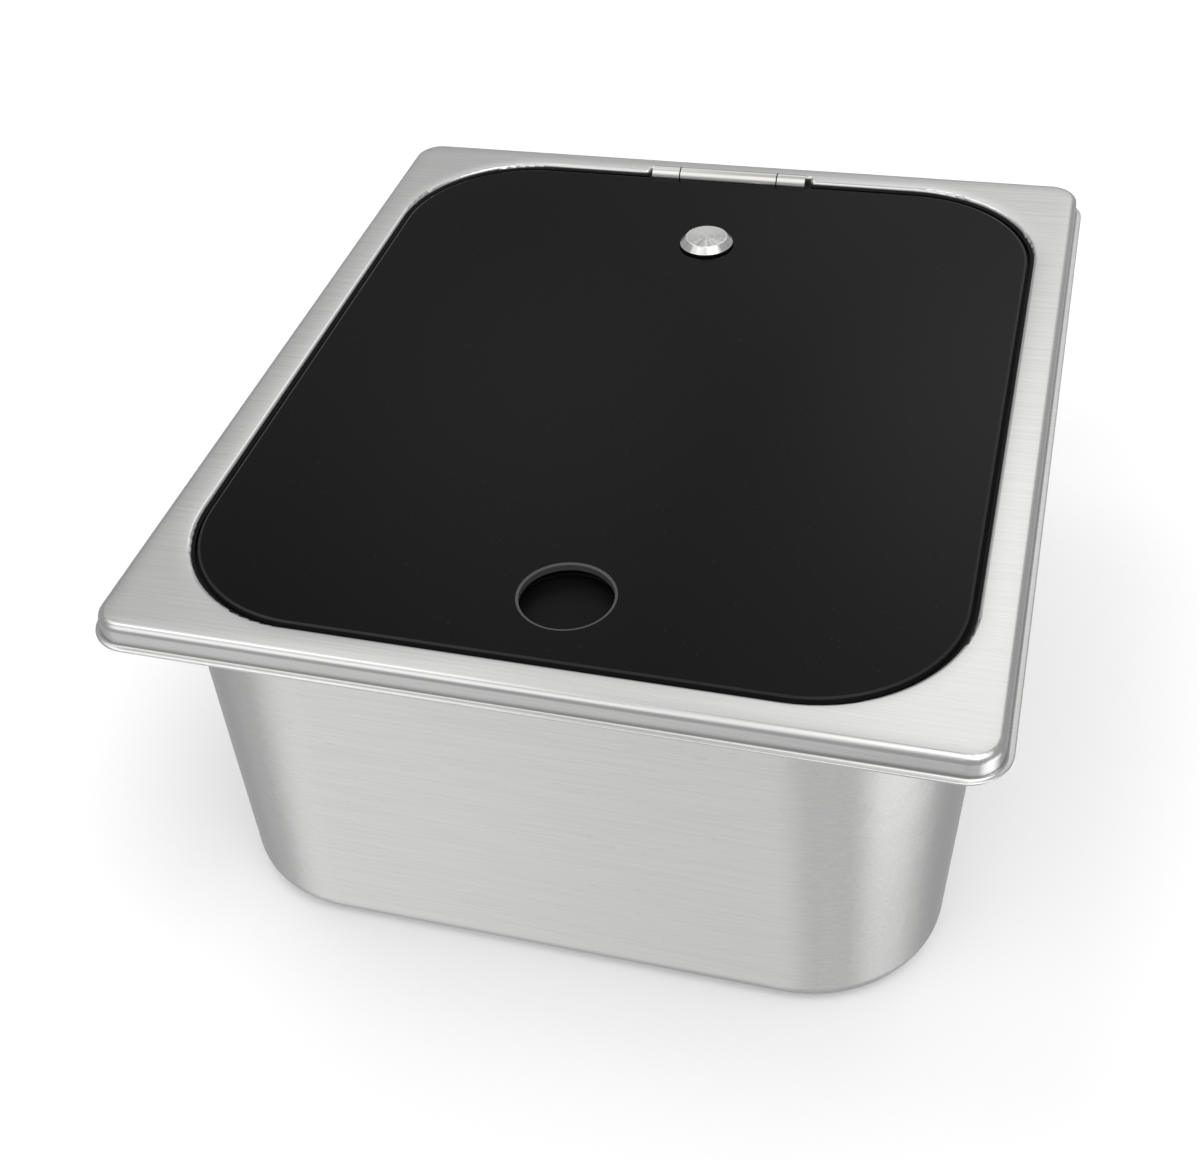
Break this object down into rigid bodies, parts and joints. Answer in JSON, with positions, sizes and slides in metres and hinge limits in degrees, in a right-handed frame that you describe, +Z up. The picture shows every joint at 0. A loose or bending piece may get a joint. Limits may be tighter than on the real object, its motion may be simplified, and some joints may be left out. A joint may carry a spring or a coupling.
{
  "type": "drop-in sink with hinged glass lid",
  "caption": "Rectangular drop-in steel sink bowl with a raised flat rim and a flush dark glass lid that opens on a barrel hinge at the back, with a finger hole at the front.",
  "frame": {"origin": "middle of the bowl's footprint, on the surface that it stands on", "axes": "+X to the right along the width, +Y to the hinge side at the back, +Z up"},
  "size_m": [0.33, 0.381, 0.1683],
  "materials": {
    "brushed_sheet": "brushed along the width",
    "hinge_steel": "fine brushed",
    "turned_steel": "turned and bright",
    "dark_glass": "polished, dark tinted",
    "black_rubber": "matt",
    "black_plastic": "moulded, satin"
  },
  "bodies": {
    "sink": {"bowl": "brushed_sheet", "top_frame": "brushed_sheet", "worktop_seal": "black_rubber", "lid_seal": "black_rubber", "hinge_fixed_leaf": "hinge_steel", "hinge_pin": "turned_steel", "hinge_spacers": "black_plastic", "hinge_screws": "turned_steel", "hinge_screw_washers": "turned_steel", "hinge_nuts": "turned_steel"},
    "lid": {"glass_lid": "dark_glass", "finger_cup": "black_plastic", "finger_cup_tape": "black_rubber", "clamp_cap": "turned_steel", "clamp_cap_washer": "black_rubber", "clamp_bush": "black_plastic", "glass_pad": "black_rubber", "glass_edge_strip": "black_plastic", "clamp_washer": "turned_steel", "clamp_nut": "turned_steel", "hinge_moving_leaf": "hinge_steel", "hinge_bushes": "black_plastic"}
  },
  "joints": [
    {"name": "lid_hinge", "type": "hinge", "parent": "sink", "child": "lid", "pos_m": [0, 0.1735, 0.164], "axis": [-1, 0, 0], "range_deg": [0, 100]}
  ]
}
